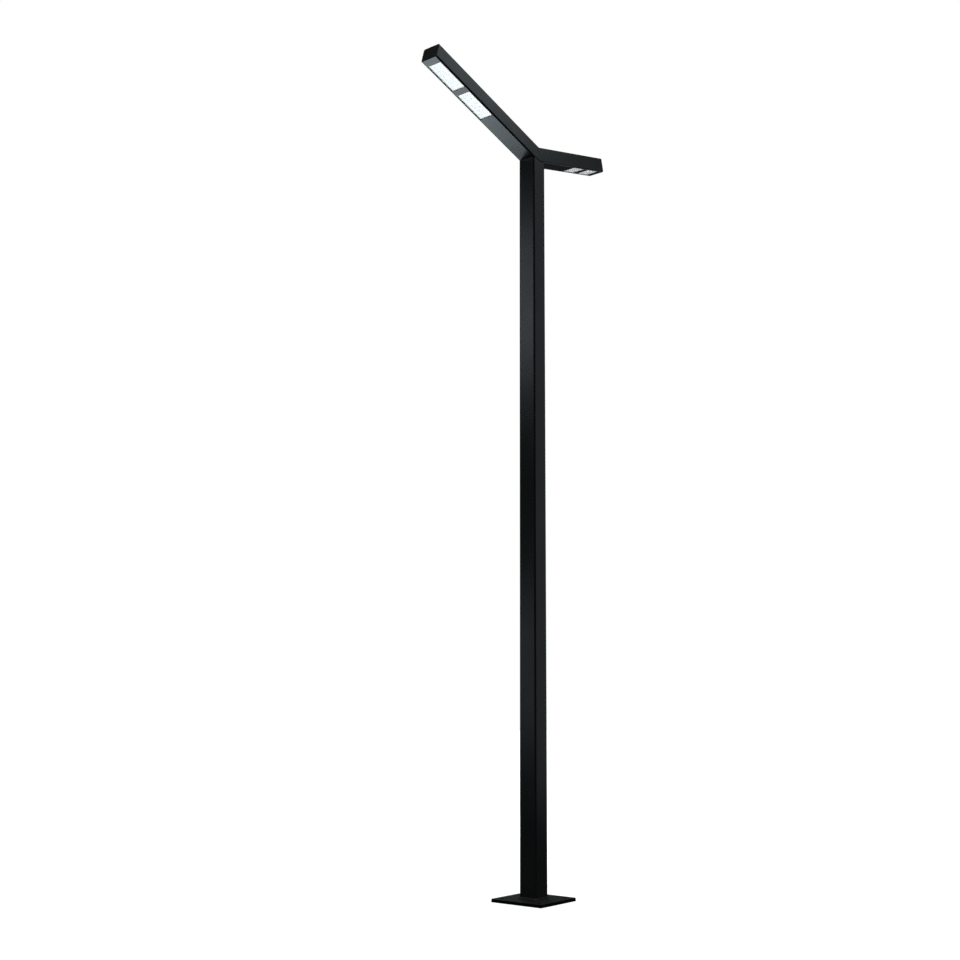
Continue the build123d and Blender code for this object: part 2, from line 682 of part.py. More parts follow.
# ---------------------------------------------------------------- gear behind the door

with BuildPart() as gear_tray:
    with BuildSketch(Plane.XY.offset(DOOR_CENTRE_HEIGHT - TRAY_HEIGHT / 2)):
        with Locations((0, -POST_INSIDE / 2)):
            Rectangle(TRAY_WIDTH, TRAY_DEPTH, align=(Align.CENTER, Align.MIN))
            Rectangle(
                TRAY_WIDTH - 2 * TRAY_THICKNESS, TRAY_DEPTH - TRAY_THICKNESS,
                align=(Align.CENTER, Align.MIN), mode=Mode.SUBTRACT,
            )
    extrude(amount=TRAY_HEIGHT)
    with BuildSketch(off_back_wall(0)):
        with GridLocations(0, TRAY_STUD_SPACING, 1, 2):
            Circle(TRAY_STUD_RADIUS + TRAY_HOLE_CLEARANCE)
    extrude(amount=TRAY_DEPTH, mode=Mode.SUBTRACT)
save(gear_tray, "gear_tray")

with BuildPart() as tray_studs:
    with BuildSketch(off_back_wall(0)):
        with GridLocations(0, TRAY_STUD_SPACING, 1, 2):
            Circle(TRAY_STUD_RADIUS)
    extrude(amount=TRAY_STUD_LENGTH)
save(tray_studs, "tray_studs")

with BuildPart() as tray_nuts:
    with BuildSketch(off_back_wall(TRAY_DEPTH)):
        with GridLocations(0, TRAY_STUD_SPACING, 1, 2):
            RegularPolygon(NUT_RADIUS, 6)
            Circle(TRAY_STUD_RADIUS, mode=Mode.SUBTRACT)
    extrude(amount=NUT_HEIGHT)
save(tray_nuts, "tray_nuts")

FUSE_BOX_INSIDE = (FUSE_BOX_WIDTH - 2 * FUSE_BOX_WALL, FUSE_BOX_HEIGHT - 2 * FUSE_BOX_WALL)
GLAND_LEVEL = DOOR_CENTRE_HEIGHT + FUSE_BOX_OFFSET - FUSE_BOX_HEIGHT / 2
GLAND_Y = TRAY_DEPTH + GLAND_LIFT - POST_INSIDE / 2

with BuildPart() as fuse_box:
    with BuildSketch(off_back_wall(TRAY_DEPTH)):
        with Locations((0, FUSE_BOX_OFFSET)):
            Rectangle(FUSE_BOX_WIDTH, FUSE_BOX_HEIGHT)
    extrude(amount=FUSE_BOX_DEPTH)
    with BuildSketch(off_back_wall(TRAY_DEPTH + FUSE_BOX_WALL)):
        with Locations((0, FUSE_BOX_OFFSET)):
            Rectangle(*FUSE_BOX_INSIDE)
    extrude(amount=FUSE_BOX_DEPTH, mode=Mode.SUBTRACT)
    with BuildSketch(Plane.XY.offset(GLAND_LEVEL)):
        with Locations((0, GLAND_Y)):
            Circle(GLAND_RADIUS)
    extrude(amount=FUSE_BOX_WALL, mode=Mode.SUBTRACT)
save(fuse_box, "fuse_box")

with BuildPart() as fuse_box_cover:
    with BuildSketch(off_back_wall(TRAY_DEPTH + FUSE_BOX_DEPTH)):
        with Locations((0, FUSE_BOX_OFFSET)):
            RectangleRounded(FUSE_BOX_WIDTH, FUSE_BOX_HEIGHT, FUSE_COVER_THICKNESS)
    extrude(amount=FUSE_COVER_THICKNESS)
save(fuse_box_cover, "fuse_box_cover")

with BuildPart() as fuse_carrier:
    with BuildSketch(off_back_wall(TRAY_DEPTH + FUSE_BOX_WALL)):
        with Locations((0, FUSE_BOX_OFFSET)):
            RectangleRounded(FUSE_CARRIER[0], FUSE_CARRIER[1], FUSE_BOX_WALL)
    extrude(amount=FUSE_CARRIER[2])
save(fuse_carrier, "fuse_carrier")

with BuildPart() as cable_gland:
    with BuildSketch(Plane.XY.offset(GLAND_LEVEL + FUSE_BOX_WALL)):
        with Locations((0, GLAND_Y)):
            Circle(GLAND_RADIUS)
    extrude(amount=-GLAND_LENGTH)
    with BuildSketch(Plane.XY.offset(GLAND_LEVEL)):
        with Locations((0, GLAND_Y)):
            RegularPolygon(GLAND_NUT_RADIUS, 6)
    extrude(amount=-GLAND_NUT_HEIGHT)
    with BuildSketch(Plane.XY.offset(GLAND_LEVEL + FUSE_BOX_WALL)):
        with Locations((0, GLAND_Y)):
            Circle(GLAND_BORE_RADIUS)
    extrude(amount=-GLAND_LENGTH, mode=Mode.SUBTRACT)
save(cable_gland, "cable_gland")

with BuildPart() as surge_protector:
    with BuildSketch(off_back_wall(TRAY_DEPTH)):
        with Locations((0, SURGE_OFFSET)):
            RectangleRounded(SURGE_SIZE[0], SURGE_SIZE[1], 3)
    extrude(amount=SURGE_SIZE[2])
save(surge_protector, "surge_protector")

with BuildPart() as earth_terminal:
    with BuildSketch(off_back_wall(TRAY_DEPTH)):
        with Locations((0, EARTH_OFFSET)):
            Circle(EARTH_STUD_RADIUS)
    extrude(amount=EARTH_STUD_LENGTH)
    with BuildSketch(off_back_wall(TRAY_DEPTH)):
        with Locations((0, EARTH_OFFSET)):
            RegularPolygon(NUT_RADIUS, 6)
    extrude(amount=NUT_HEIGHT)
save(earth_terminal, "earth_terminal")
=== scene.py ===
from math import cos, pi, radians, sin

import bmesh
import bpy
from bpy.props import FloatProperty, FloatVectorProperty, IntProperty, PointerProperty
from mathutils import Matrix, Vector


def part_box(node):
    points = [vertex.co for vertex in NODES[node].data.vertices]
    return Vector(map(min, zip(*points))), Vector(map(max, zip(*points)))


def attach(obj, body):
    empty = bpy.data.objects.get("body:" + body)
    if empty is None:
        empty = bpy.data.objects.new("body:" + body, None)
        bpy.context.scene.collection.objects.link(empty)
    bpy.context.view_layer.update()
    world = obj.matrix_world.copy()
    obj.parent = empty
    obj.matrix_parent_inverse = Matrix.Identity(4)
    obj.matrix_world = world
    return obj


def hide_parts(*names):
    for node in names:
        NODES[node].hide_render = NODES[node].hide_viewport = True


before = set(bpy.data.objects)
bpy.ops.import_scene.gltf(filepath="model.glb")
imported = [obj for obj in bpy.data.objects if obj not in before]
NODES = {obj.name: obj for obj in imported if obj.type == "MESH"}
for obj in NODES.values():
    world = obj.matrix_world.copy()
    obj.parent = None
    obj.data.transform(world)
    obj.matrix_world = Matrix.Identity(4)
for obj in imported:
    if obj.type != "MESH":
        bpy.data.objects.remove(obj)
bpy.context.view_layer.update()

bl_info = {
    "name": "Two-arm street lamp",
    "version": (1, 0, 0),
    "blender": (4, 5, 0),
    "location": "3D View > Sidebar > Street lamp",
    "description": "Paints a square two-arm street lamp and builds its light windows, welds and screws",
    "category": "Object",
}

ARMS = ("long", "short")
PLACES = ("outer", "inner")
MM = 0.001
JOIN_DISTANCE = 0.01 * MM  # CAD points closer than this are taken as one.

WHITE = (1.0, 1.0, 1.0, 1.0)
SPLASHED_DUST = (0.12, 0.11, 0.095)
SETTLED_DUST = (0.16, 0.155, 0.14)
COATED_GLASS_IOR = 1.2  # Low, like the anti-reflection coat, so that a pane stays clear at a flat angle.
MIX_FIRST, MIX_SECOND, MIX_RESULT = 6, 7, 2  # The colour sockets of a Mix node.

# A lens in rings. Widths are shares of its radius. Heights are shares of the tray floor's height above
# the plate's underside: in the collar minus is down, towards the glass, and the dome's are all drops.
LENS_COLLAR = ((1.0, 0.1), (1.0, -0.28), (0.95, -0.34), (0.88, -0.34), (0.84, -0.16))
DOME_RINGS = 8
DOME_WIDTH = 0.82
DOME_START = 0.1
DOME_DROP = 0.84
DIMPLE_WIDTH = 0.45  # As a share of the dome's width.
DIMPLE_DEPTH = 0.16

# Heights in a lens tray, as shares of the CAD plate's height, from its underside.
TRAY_BACK = 0.8
TRAY_FLOOR = 0.44
TRAY_LIP = 0.24

# The foot weld's bead.
STEPS_PER_RIPPLE = 6
BEAD_SPOTS = 9
BEAD_ROUNDNESS = 0.55  # 0 gives a flat bead and 1 a quarter round.
BEAD_FILL = 0.98  # Share of the CAD bead's leg that the built bead reaches.
CHEVRON = 1.2  # A ripple lags by a quarter of this, in ripples, at the bead's two edges.

SCREW_STEPS = 24
FLOOR_STEPS = 64

# Middle of each softbox, the point it faces, its width and height, and its radiance.
SOFTBOXES = (
    ("upper_strip", (-3.25, 2.33, 4.36), (0.0, 0.0, 4.36), 1.2, 1.3, 1.55),
    ("lower_strip", (-3.25, 2.33, 1.27), (0.0, 0.0, 1.27), 1.2, 1.2, 0.58),
    ("side_scrim", (3.25, -2.33, 2.9), (0.0, 0.0, 2.9), 1.6, 5.4, 0.28),
    ("arm_scrim", (2.4, -2.6, 6.3), (-0.2, 0.0, 4.0), 1.8, 1.4, 1.05),
    ("floor_panel", (0.85, 2.9, 0.05), (0.85, 2.9, 4.0), 1.9, 1.9, 5.2),
    ("rear_scrim", (3.0, 3.6, 1.8), (0.0, 0.0, 1.8), 1.6, 3.0, 0.9),
    ("door_scrim", (0.2, 5.0, 1.3), (0.0, 0.0, 1.3), 2.4, 2.4, 1.6),
    ("end_scrim", (4.8, 0.8, 1.8), (0.0, 0.0, 1.8), 1.4, 3.0, 0.8),
)


# ---------------------------------------------------------------- settings

class LampFinishSettings(bpy.types.PropertyGroup):
    paint: FloatVectorProperty(
        name="Paint", description="Powder coat on the post, the arms and the door",
        subtype="COLOR", size=3, min=0.0, max=1.0, default=(0.0105, 0.0118, 0.0128),
    )
    cap_paint: FloatVectorProperty(
        name="Cap paint", description="Powder coat on the end caps",
        subtype="COLOR", size=3, min=0.0, max=1.0, default=(0.006, 0.0065, 0.007),
    )
    foot_paint: FloatVectorProperty(
        name="Foot paint", description="Powder coat on the base plate and its weld",
        subtype="COLOR", size=3, min=0.0, max=1.0, default=(0.002, 0.0022, 0.0024),
    )
    foot_roughness: FloatProperty(
        name="Foot roughness", description="How dull the base plate and its weld are", default=0.6,
        min=0.0, max=1.0,
    )
    paint_roughness: FloatProperty(
        name="Paint roughness", description="How dull the powder coat is", default=0.27, min=0.0, max=1.0,
    )
    grain: FloatProperty(
        name="Paint grain", description="Width of the orange-peel bumps in the powder coat",
        default=1.6 * MM, unit="LENGTH",
    )
    dust_height: FloatProperty(
        name="Dust height", description="How far road dust reaches up the post", default=0.35,
        unit="LENGTH",
    )
    # The glow of the trays is painted light: emission that keeps the white trays bright even in shade.
    glow: FloatProperty(
        name="Glow", description="Brightness of the white trays behind the windows", default=0.72, min=0.0,
    )
    # The lens glow is painted light too: a weaker emission that makes the lenses look greyer than their
    # tray.
    lens_glow: FloatProperty(
        name="Lens glow", description="Brightness of the lenses, which look greyer than their tray",
        default=0.58, min=0.0,
    )


class LampDetailSettings(bpy.types.PropertyGroup):
    edge: FloatProperty(
        name="Edge radius", description="Rounding of the cut steel edges", default=0.6 * MM, unit="LENGTH",
    )
    glass_edge: FloatProperty(
        name="Glass edge", description="Ground bevel round each cover glass", default=0.8 * MM,
        unit="LENGTH",
    )
    glass_corner: FloatProperty(
        name="Glass corner", description="Corner radius of each cover glass", default=4.0 * MM,
        unit="LENGTH",
    )
    tray_rim: FloatProperty(
        name="Tray rim", description="Width of the raised rim round a lens tray", default=3.0 * MM,
        unit="LENGTH",
    )
    tray_corner: FloatProperty(
        name="Tray corner", description="Corner radius of a lens tray", default=2.1 * MM, unit="LENGTH",
    )
    tray_chamfer: FloatProperty(
        name="Tray chamfer", description="Chamfer on the rim of a lens tray", default=0.3 * MM,
        unit="LENGTH",
    )
    lens_radius: FloatProperty(
        name="Lens radius", description="Outer radius of a lens's collar", default=12.0 * MM,
        unit="LENGTH",
    )
    lens_steps: IntProperty(name="Lens steps", description="Sides round each lens", default=28, min=8)
    ripple_pitch: FloatProperty(
        name="Ripple pitch", description="Distance between ripples of the foot weld", default=5.0 * MM,
        unit="LENGTH",
    )
    ripple_depth: FloatProperty(
        name="Ripple depth", description="Depth of the ripples, as a share of the weld's leg", default=0.1,
    )
    post_corner: FloatProperty(
        name="Post corner", description="Corner radius of the post, which the foot weld follows",
        default=8.0 * MM, unit="LENGTH",
    )
    socket: FloatProperty(
        name="Socket", description="Radius of the hexagon socket in a screw, as a share of its head",
        default=0.5, min=0.1, max=0.8,
    )


class LampStageSettings(bpy.types.PropertyGroup):
    floor_radius: FloatProperty(
        name="Floor radius", description="Radius of the pale floor", default=45.0, unit="LENGTH",
    )
    camera_distance: FloatProperty(
        name="Camera distance", description="From the post to the camera, along the floor", default=6.27,
        unit="LENGTH",
    )
    camera_height: FloatProperty(
        name="Camera height", description="Of the camera above the floor", default=0.929, unit="LENGTH",
    )
    camera_azimuth: FloatProperty(
        name="Camera azimuth", description="Direction from the post to the camera, from +X",
        default=radians(215.72), unit="ROTATION",
    )
    camera_turn: FloatProperty(
        name="Camera turn", description="How far the camera looks to the left of the post",
        default=radians(2.49), unit="ROTATION",
    )
    camera_pitch: FloatProperty(
        name="Camera pitch", description="How far the camera looks up", default=radians(10.44),
        unit="ROTATION",
    )
    camera_roll: FloatProperty(
        name="Camera roll", description="Tilt of the camera about its own axis", default=radians(0.31),
        unit="ROTATION",
    )
    lens: FloatProperty(name="Lens", description="Focal length in millimetres", default=46.2)
    sun: FloatProperty(name="Overhead light", description="Strength of the wide light above", default=4.2)
    tint: FloatVectorProperty(
        name="Light tint", description="Colour of the softboxes",
        subtype="COLOR", size=3, min=0.0, max=1.0, default=(0.82, 0.94, 1.0),
    )
    sky: FloatProperty(name="Room light", description="Light that the studio room gives", default=0.025)


# ---------------------------------------------------------------- materials

class Finish:
    """A new material with short ways to add procedural detail to its shader."""

    def __init__(self, name, colour, roughness, metallic=0.0):
        self.material = bpy.data.materials.new(name)
        self.material.use_nodes = True
        self.tree = self.material.node_tree
        self.shader = self.tree.nodes["Principled BSDF"]
        self.set("Base Color", (*colour[:3], 1.0))
        self.set("Roughness", roughness)
        self.set("Metallic", metallic)
        self.place = self.tree.nodes.new("ShaderNodeTexCoord").outputs["Object"]
        self.bumped = None

    def set(self, socket, value):
        """Gives a socket of the shader a fixed value."""
        self.shader.inputs[socket].default_value = value

    def link(self, source, target):
        self.tree.links.new(source, target)

    def noise(self, size, detail=3.0, stretch=(1.0, 1.0, 1.0)):
        """Noise whose lumps are about size metres wide, stretched along each axis."""
        mapping = self.tree.nodes.new("ShaderNodeMapping")
        mapping.inputs["Scale"].default_value = [1.0 / factor for factor in stretch]
        texture = self.tree.nodes.new("ShaderNodeTexNoise")
        texture.inputs["Scale"].default_value = 1.0 / size
        texture.inputs["Detail"].default_value = detail
        self.link(self.place, mapping.inputs["Vector"])
        self.link(mapping.outputs["Vector"], texture.inputs["Vector"])
        return texture.outputs["Fac"]

    def cells(self, size):
        """Random grey cells about size metres wide, like zinc spangle."""
        texture = self.tree.nodes.new("ShaderNodeTexVoronoi")
        texture.inputs["Scale"].default_value = 1.0 / size
        self.link(self.place, texture.inputs["Vector"])
        return texture.outputs["Color"]

    def ranged(self, value, low, high, start=0.3, end=0.7):
        """value, from start to end, mapped onto low to high. Most noise lies between 0.3 and 0.7."""
        mapper = self.tree.nodes.new("ShaderNodeMapRange")
        for socket, number in (
            ("From Min", start), ("From Max", end), ("To Min", low), ("To Max", high),
        ):
            mapper.inputs[socket].default_value = number
        self.link(value, mapper.inputs["Value"])
        return mapper.outputs["Result"]

    def times(self, first, second):
        """The product of two outputs."""
        product = self.tree.nodes.new("ShaderNodeMath")
        product.operation = "MULTIPLY"
        self.link(first, product.inputs[0])
        self.link(second, product.inputs[1])
        return product.outputs["Value"]

    def mixed(self, factor, first, second):
        """A colour between first and second. Either may be a colour or another node's output."""
        mixer = self.tree.nodes.new("ShaderNodeMix")
        mixer.data_type = "RGBA"
        self.link(factor, mixer.inputs["Factor"])
        for socket, colour in ((mixer.inputs[MIX_FIRST], first), (mixer.inputs[MIX_SECOND], second)):
            if isinstance(colour, bpy.types.NodeSocket):
                self.link(colour, socket)
            else:
                socket.default_value = (*colour[:3], 1.0)
        return mixer.outputs[MIX_RESULT]

    def low_down(self, height):
        """1 at the ground, falling to 0 at that height."""
        split = self.tree.nodes.new("ShaderNodeSeparateXYZ")
        self.link(self.place, split.inputs["Vector"])
        return self.ranged(split.outputs["Z"], 1.0, 0.0, 0.0, height)

    def facing_up(self):
        """1 where the surface looks up, and 0 on walls and undersides."""
        geometry = self.tree.nodes.new("ShaderNodeNewGeometry")
        split = self.tree.nodes.new("ShaderNodeSeparateXYZ")
        self.link(geometry.outputs["Normal"], split.inputs["Vector"])
        return self.ranged(split.outputs["Z"], 0.0, 1.0, 0.5, 1.0)

    def raise_by(self, height, depth, strength=1.0):
        """Adds bumps of that depth, in metres, over the ones already there."""
        bump = self.tree.nodes.new("ShaderNodeBump")
        bump.inputs["Distance"].default_value = depth
        bump.inputs["Strength"].default_value = strength
        self.link(height, bump.inputs["Height"])
        if self.bumped:
            self.link(self.bumped, bump.inputs["Normal"])
        self.bumped = bump.outputs["Normal"]
        self.link(self.bumped, self.shader.inputs["Normal"])

    def colour_by(self, output):
        self.link(output, self.shader.inputs["Base Color"])

    def roughness_by(self, output):
        self.link(output, self.shader.inputs["Roughness"])


def shade(colour, factor):
    """The colour, darker or lighter by that factor."""
    return tuple(min(1.0, channel * factor) for channel in colour[:3])


def powder_coat(name, colour, settings, roughness, shine=0.5, dirt=1.0):
    """Satin powder coat: orange peel, cloudy tone and gloss, and road dust near the ground."""
    coat = Finish(name, colour, roughness)
    clouds = coat.ranged(coat.noise(220 * MM, 4.0), 0.0, 1.0)
    paint = coat.mixed(clouds, shade(colour, 0.82), shade(colour, 1.22))
    handling = coat.noise(140 * MM, 3.0)
    specks = coat.ranged(coat.noise(20 * MM, 6.0), 0.0, 0.05 * dirt)
    splashed = coat.times(coat.low_down(settings.dust_height), specks)
    settled = coat.times(coat.facing_up(), coat.ranged(coat.noise(60 * MM, 5.0), 0.0, 0.035 * dirt))
    dusty = coat.mixed(splashed, paint, SPLASHED_DUST)
    coat.colour_by(coat.mixed(settled, dusty, SETTLED_DUST))
    coat.roughness_by(coat.ranged(handling, roughness - 0.015, roughness + 0.025))
    coat.set("Specular IOR Level", shine)
    coat.raise_by(coat.noise(settings.grain, 2.0), 0.03 * MM, 0.4)
    coat.raise_by(coat.noise(settings.grain * 5, 1.0), 0.05 * MM, 0.3)
    return coat.material


def bare_metal(name, colour, roughness, brushed=(1.0, 1.0, 1.0)):
    """Bare metal with fine brushing and patches of dullness."""
    metal = Finish(name, colour, roughness, metallic=1.0)
    brush = metal.noise(0.9 * MM, 4.0, brushed)
    patches = metal.noise(30 * MM, 4.0)
    metal.colour_by(metal.mixed(metal.ranged(patches, 0.0, 1.0), shade(colour, 0.84), shade(colour, 1.06)))
    metal.roughness_by(metal.ranged(brush, roughness - 0.07, roughness + 0.1))
    metal.raise_by(brush, 0.02 * MM, 0.35)
    return metal.material


def zinc_sheet(name):
    """Galvanised sheet with its spangle."""
    zinc = Finish(name, (0.45, 0.47, 0.48), 0.42, metallic=1.0)
    spangle = zinc.cells(9 * MM)
    zinc.colour_by(zinc.mixed(spangle, (0.36, 0.38, 0.4), (0.58, 0.6, 0.61)))
    zinc.roughness_by(zinc.ranged(spangle, 0.34, 0.52, 0.0, 1.0))
    zinc.raise_by(spangle, 0.02 * MM, 0.3)
    return zinc.material


def moulded_plastic(name, colour, roughness):
    """Moulded plastic with spark-eroded grain and slight flow marks."""
    plastic = Finish(name, colour, roughness)
    flow = plastic.ranged(plastic.noise(50 * MM, 3.0), 0.0, 1.0)
    plastic.colour_by(plastic.mixed(flow, shade(colour, 0.92), shade(colour, 1.05)))
    plastic.roughness_by(plastic.ranged(plastic.noise(12 * MM, 4.0), roughness - 0.05, roughness + 0.07))
    plastic.raise_by(plastic.noise(0.8 * MM, 2.0), 0.03 * MM, 0.35)
    return plastic.material


def soft_rubber(name, colour):
    """Extruded rubber or silicone: matt, faintly streaked and bloomed."""
    rubber = Finish(name, colour, 0.68)
    rubber.set("Specular IOR Level", 0.3)
    bloom = rubber.ranged(rubber.noise(8 * MM, 5.0), 0.0, 1.0)
    rubber.colour_by(rubber.mixed(bloom, shade(colour, 0.9), shade(colour, 1.1)))
    rubber.raise_by(rubber.noise(0.6 * MM, 2.0), 0.04 * MM, 0.4)
    return rubber.material


def clear_glass():
    """Toughened cover glass with an anti-reflection coat, faintly wavy and unevenly clear."""
    glass = Finish("toughened_glass", (0.97, 0.99, 0.985), 0.03)
    glass.set("Transmission Weight", 1.0)
    glass.set("IOR", COATED_GLASS_IOR)
    glass.roughness_by(glass.ranged(glass.noise(6 * MM, 5.0), 0.01, 0.05))
    glass.raise_by(glass.noise(50 * MM, 1.0), 0.02 * MM, 0.2)
    return glass.material


def white_tray_painted_glow(settings):
    """White lens tray with a painted glow: its emission keeps it bright white even where it lies in shade.
    """
    tray = Finish("white_tray_with_painted_glow", (0.93, 0.94, 0.95), 0.35)
    tray.set("Specular IOR Level", 0.1)
    # Painted glow: the tray is not a light source, and this emission keeps it white even in shade.
    tray.set("Emission Color", (0.985, 1.0, 1.0, 1.0))
    tray.set("Emission Strength", settings.glow)
    tray.colour_by(tray.mixed(tray.noise(12 * MM, 3.0), (0.88, 0.9, 0.91), (0.97, 0.98, 0.98)))
    tray.raise_by(tray.noise(1.2 * MM, 2.0), 0.02 * MM, 0.3)
    return tray.material


def lens_acrylic_painted_glow(settings):
    """Clear lens over its chip, with a painted glow a little greyer than the tray's."""
    lens = Finish("lens_acrylic_painted_glow", (0.62, 0.66, 0.68), 0.08)
    lens.set("Coat Weight", 0.2)
    lens.set("Coat Roughness", 0.04)
    # Painted glow: this emission stands in for light on the lenses, a little weaker than the tray's.
    lens.set("Emission Color", (0.94, 0.99, 1.0, 1.0))
    lens.set("Emission Strength", settings.lens_glow)
    lens.colour_by(lens.mixed(lens.noise(6 * MM, 2.0), (0.52, 0.56, 0.58), (0.72, 0.76, 0.78)))
    lens.raise_by(lens.noise(3 * MM, 1.0), 0.03 * MM, 0.3)
    return lens.material


def led_phosphor():
    """Yellow phosphor of the chips."""
    chip = Finish("led_phosphor", (0.9, 0.72, 0.22), 0.3)
    chip.set("Emission Color", (1.0, 0.95, 0.82, 1.0))
    chip.set("Emission Strength", 1.5)
    chip.colour_by(chip.mixed(chip.noise(2 * MM, 3.0), (0.85, 0.66, 0.16), (0.95, 0.8, 0.34)))
    return chip.material


def circuit_board():
    """White solder mask over a faint pattern of copper lands."""
    board = Finish("white_circuit_board", (0.86, 0.87, 0.85), 0.38)
    lands = board.ranged(board.cells(7 * MM), 0.0, 0.35, 0.4, 0.6)
    board.colour_by(board.mixed(lands, (0.88, 0.89, 0.87), (0.66, 0.69, 0.66)))
    board.raise_by(lands, 0.04 * MM, 0.5)
    return board.material


# ---------------------------------------------------------------- mesh work

def centre_of(node):
    """Middle of a CAD node's box."""
    low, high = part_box(node)
    return (low + high) / 2


def arm_axes(arm):
    """Directions out along an arm, across it and up through it, from its two windows."""
    out = (centre_of(f"cover_glass_{arm}_outer") - centre_of(f"cover_glass_{arm}_inner")).normalized()
    across = Vector((0, 1 if out.x > 0 else -1, 0))
    return out, across, out.cross(across)


def slab_on_arm(node, arm):
    """Matrix at the middle of a CAD slab's underside, and the slab's length, width and height.

    The slab is tilted with its arm, so the sides of its box give two equations for length and height.
    """
    out, across, up = arm_axes(arm)
    low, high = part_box(node)
    size = high - low
    level, rise = abs(out.x), out.z
    spread = level ** 2 - rise ** 2
    length = (size.x * level - size.z * rise) / spread
    height = (size.z * level - size.x * rise) / spread
    matrix = Matrix((out, across, up)).transposed().to_4x4()
    matrix.translation = (low + high) / 2 - up * height / 2
    return matrix, length, size.y, height


def islands(node):
    """The points of each separate solid of a CAD node."""
    shape = bmesh.new()
    shape.from_mesh(NODES[node].data)
    bmesh.ops.remove_doubles(shape, verts=shape.verts, dist=JOIN_DISTANCE)
    left = set(shape.verts)
    found = []
    while left:
        queue = [left.pop()]
        solid = []
        while queue:
            vertex = queue.pop()
            solid.append(vertex.co.copy())
            for edge in vertex.link_edges:
                other = edge.other_vert(vertex)
                if other in left:
                    left.remove(other)
                    queue.append(other)
        found.append(solid)
    shape.free()
    return sorted(found, key=lambda points: tuple(sum(points, Vector()) / len(points)))


def rounded_outline(length, width, radius, steps=6):
    """Points round a rectangle with rounded corners, in order."""
    points = []
    for corner, (side_x, side_y) in enumerate(((1, 1), (-1, 1), (-1, -1), (1, -1))):
        centre = Vector((side_x * (length / 2 - radius), side_y * (width / 2 - radius), 0))
        for step in range(steps + 1):
            angle = (corner + step / steps) * pi / 2
            points.append(centre + Vector((cos(angle), sin(angle), 0)) * radius)
    return points


def add_rings(shape, rings, material=0, closed=True):
    """Joins rings of points into a skin, and fills its first and last ring if it is closed."""
    made = [[shape.verts.new(point) for point in ring] for ring in rings]
    count = len(made[0])
    faces = []
    for lower, upper in zip(made, made[1:]):
        for index in range(count):
            after = (index + 1) % count
            faces.append(shape.faces.new((lower[index], lower[after], upper[after], upper[index])))
    if closed:
        faces.append(shape.faces.new(list(reversed(made[0]))))
        faces.append(shape.faces.new(made[-1]))
    for face in faces:
        face.material_index = material


def circle_ring(centre, radius, height, steps):
    """A ring of points round centre, at that height."""
    return [
        centre + Vector((radius * cos(2 * pi * step / steps), radius * sin(2 * pi * step / steps), height))
        for step in range(steps)
    ]


def make_piece(name, shape, materials, replaced, matrix=None, sharp=35.0):
    """Turns a mesh in the making into a finished piece that rides on the post.

    Faces that meet at more than sharp degrees keep a sharp edge between them.
    """
    if matrix is not None:
        shape.transform(matrix)
    bmesh.ops.recalc_face_normals(shape, faces=shape.faces)
    mesh = bpy.data.meshes.new(name)
    shape.to_mesh(mesh)
    shape.free()
    for material in materials:
        mesh.materials.append(material)
    mesh.shade_smooth()
    mesh.set_sharp_from_angle(angle=radians(sharp))
    piece = bpy.data.objects.new(name, mesh)
    bpy.context.scene.collection.objects.link(piece)
    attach(piece, "post")
    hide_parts(replaced)


def dress(names, material):
    """Gives CAD nodes a material."""
    for name in names:
        piece = NODES[name]
        if not piece.material_slots:
            piece.data.materials.append(material)
        for slot in piece.material_slots:
            slot.material = material


def named(*starts):
    """CAD nodes whose names start with any of these."""
    return sorted(name for name in NODES if name.startswith(starts))


def soften_edges(names, width):
    """Rounds the sharp edges of CAD nodes a little, with modifiers."""
    for name in names:
        piece = NODES[name]
        weld = piece.modifiers.new("join_faces", "WELD")
        weld.merge_threshold = JOIN_DISTANCE
        bevel = piece.modifiers.new("round_edges", "BEVEL")
        bevel.width = width
        bevel.segments = 2
        bevel.limit_method = "ANGLE"
        bevel.angle_limit = radians(50)
        bevel.use_clamp_overlap = True


# ---------------------------------------------------------------- operators

class LAMP_OT_paint_steel(bpy.types.Operator):
    """Powder coats the post, arms, caps, base plate, door and hinges"""

    bl_idname = "lamp.paint_steel"
    bl_label = "Paint the steelwork"

    def execute(self, context):
        finish = context.scene.lamp_finish
        edge = context.scene.lamp_detail.edge
        dress(
            ["post_tube", "arm_long", "arm_short", "access_door", "hinge_knuckles", "hinge_leaves"],
            powder_coat("anthracite_powder_coat", finish.paint, finish, finish.paint_roughness),
        )
        dress(
            ["end_cap_long", "end_cap_short"],
            powder_coat("cap_powder_coat", finish.cap_paint, finish, finish.paint_roughness),
        )
        dress(
            ["base_plate"],
            powder_coat(
                "foot_powder_coat", finish.foot_paint, finish, finish.foot_roughness, shine=0.08, dirt=0.2,
            ),
        )
        soften_edges(["base_plate", "end_cap_long", "end_cap_short", "access_door"], edge)
        return {"FINISHED"}


